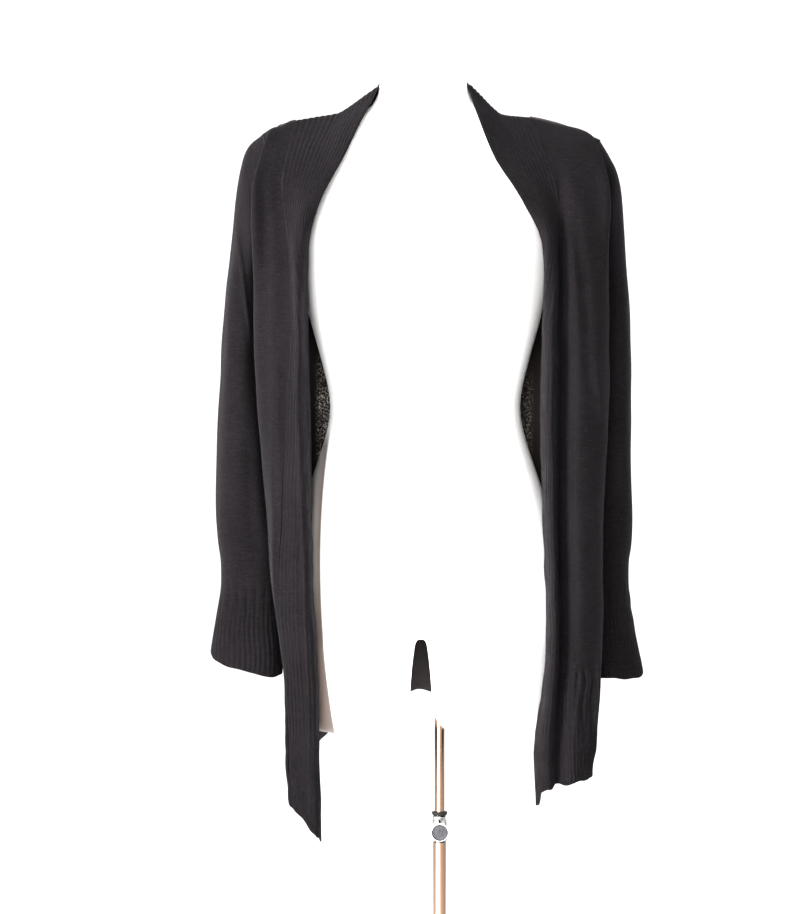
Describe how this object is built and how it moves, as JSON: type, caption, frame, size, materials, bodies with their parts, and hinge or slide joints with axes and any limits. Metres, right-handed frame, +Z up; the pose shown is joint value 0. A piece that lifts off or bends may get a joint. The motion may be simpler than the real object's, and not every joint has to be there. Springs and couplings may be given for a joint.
{
  "type": "long open-front knitted cardigan on a limbless dress form with a stand",
  "caption": "Long open-front knitted cardigan with ribbed band, cuffs and hem, worn by a limbless dress form on a telescopic stand with a clamp knob and a round base.",
  "frame": {"origin": "on the underside of the base plate, below the middle of the form; the pole stands 16.5 mm to the wearer's left of it", "axes": "+Z up, the cardigan's front faces -Y, +X is the wearer's left"},
  "size_m": [0.5005, 0.3292, 1.469],
  "materials": {
    "knit": "black fine-gauge plain knit, matte, a little fuzzy",
    "rib": "black rib knit, matte",
    "form_cover": "smooth white stretch cover over a foam body",
    "rod_metal": "polished steel, warm nickel tone",
    "base_metal": "satin steel plate",
    "clamp_chrome": "chrome plated",
    "ring_rubber": "black rubber",
    "knob_plastic": "grey face with a pale rim"
  },
  "bodies": {
    "stand": {"base_plate": "base_metal", "lower_tube": "rod_metal", "rod_clamp": "clamp_chrome", "rod_ring": "ring_rubber"},
    "rod": {"upper_rod": "rod_metal"},
    "form": {"dress_form": "form_cover", "back": "knit", "back_hem_rib": "rib", "front_right": "knit", "front_left": "knit", "front_right_hem_rib": "rib", "front_left_hem_rib": "rib", "band_right": "rib", "band_left": "rib", "sleeve_right": "knit", "sleeve_left": "knit", "cuff_right": "rib", "cuff_left": "rib"},
    "knob": {"clamp_knob": "knob_plastic"}
  },
  "joints": [
    {"name": "height_slide", "type": "slide", "parent": "stand", "child": "rod", "axis": [0, 0, 1], "range_m": [-0.07, 0.25]},
    {"name": "form_swivel", "type": "hinge", "parent": "rod", "child": "form", "pos_m": [0.0165, 0, 0.7], "axis": [0, 0, 1], "continuous": true},
    {"name": "knob_turn", "type": "hinge", "parent": "stand", "child": "knob", "pos_m": [0.0165, -0.0125, 0.5775], "axis": [0, -1, 0], "range_deg": [0, 360]}
  ]
}
